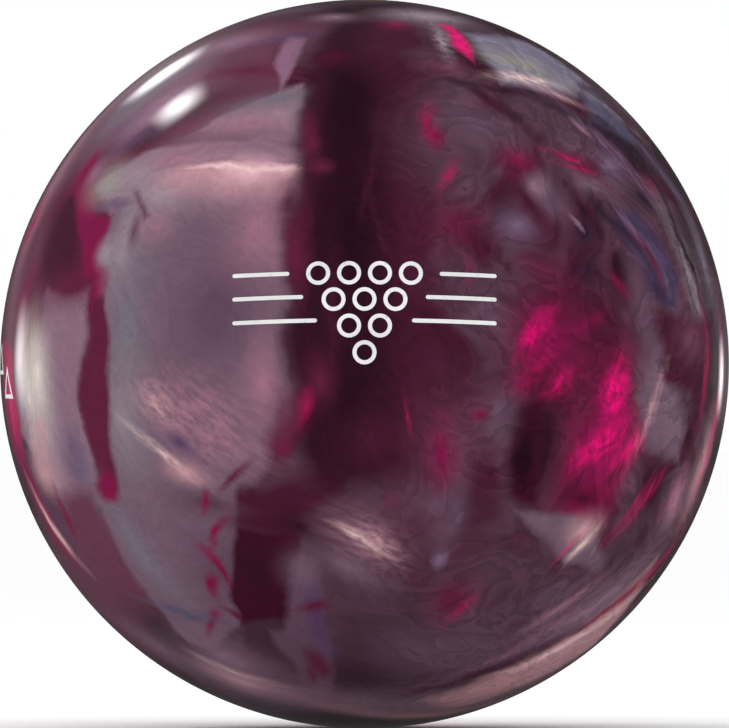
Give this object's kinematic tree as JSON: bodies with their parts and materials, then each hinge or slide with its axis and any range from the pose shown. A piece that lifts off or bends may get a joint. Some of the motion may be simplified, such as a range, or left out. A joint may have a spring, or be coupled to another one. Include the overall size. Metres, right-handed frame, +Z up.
{
  "type": "bowling ball",
  "caption": "Undrilled ten-pin bowling ball: glossy pearl resin coverstock over a filler core that holds an asymmetric weight block, with a locator pin and engraved white marks.",
  "frame": {"origin": "centre of the ball", "axes": "+Z runs up the weight block's axis to the locator pin at the top; -Y faces the front mark and +Y the mass bias marker; +X is to the right of the front mark"},
  "size_m": [0.217, 0.217, 0.217],
  "materials": {
    "coverstock": "polished pearl resin, marbled burgundy, magenta and silver mauve",
    "core_filler": "cast resin with fine filler specks",
    "weight_block": "cast resin with ceramic filler",
    "dense_filler": "cast resin with heavy mineral filler",
    "flip_block": "cast resin with ceramic filler",
    "locator_pin": "polished flush with the ball",
    "marker_pin": "polished flush with the ball",
    "engraving_paint": "satin engraving paint"
  },
  "bodies": {
    "root": {"coverstock": "coverstock", "outer_core": "core_filler", "weight_block": "weight_block", "density_disk": "dense_filler", "flip_block_left": "flip_block", "flip_block_right": "flip_block", "locator_pin": "locator_pin", "mass_bias_pin": "marker_pin", "cg_mark_paint": "engraving_paint", "front_mark_paint": "engraving_paint", "side_mark_paint": "engraving_paint"}
  },
  "joints": []
}
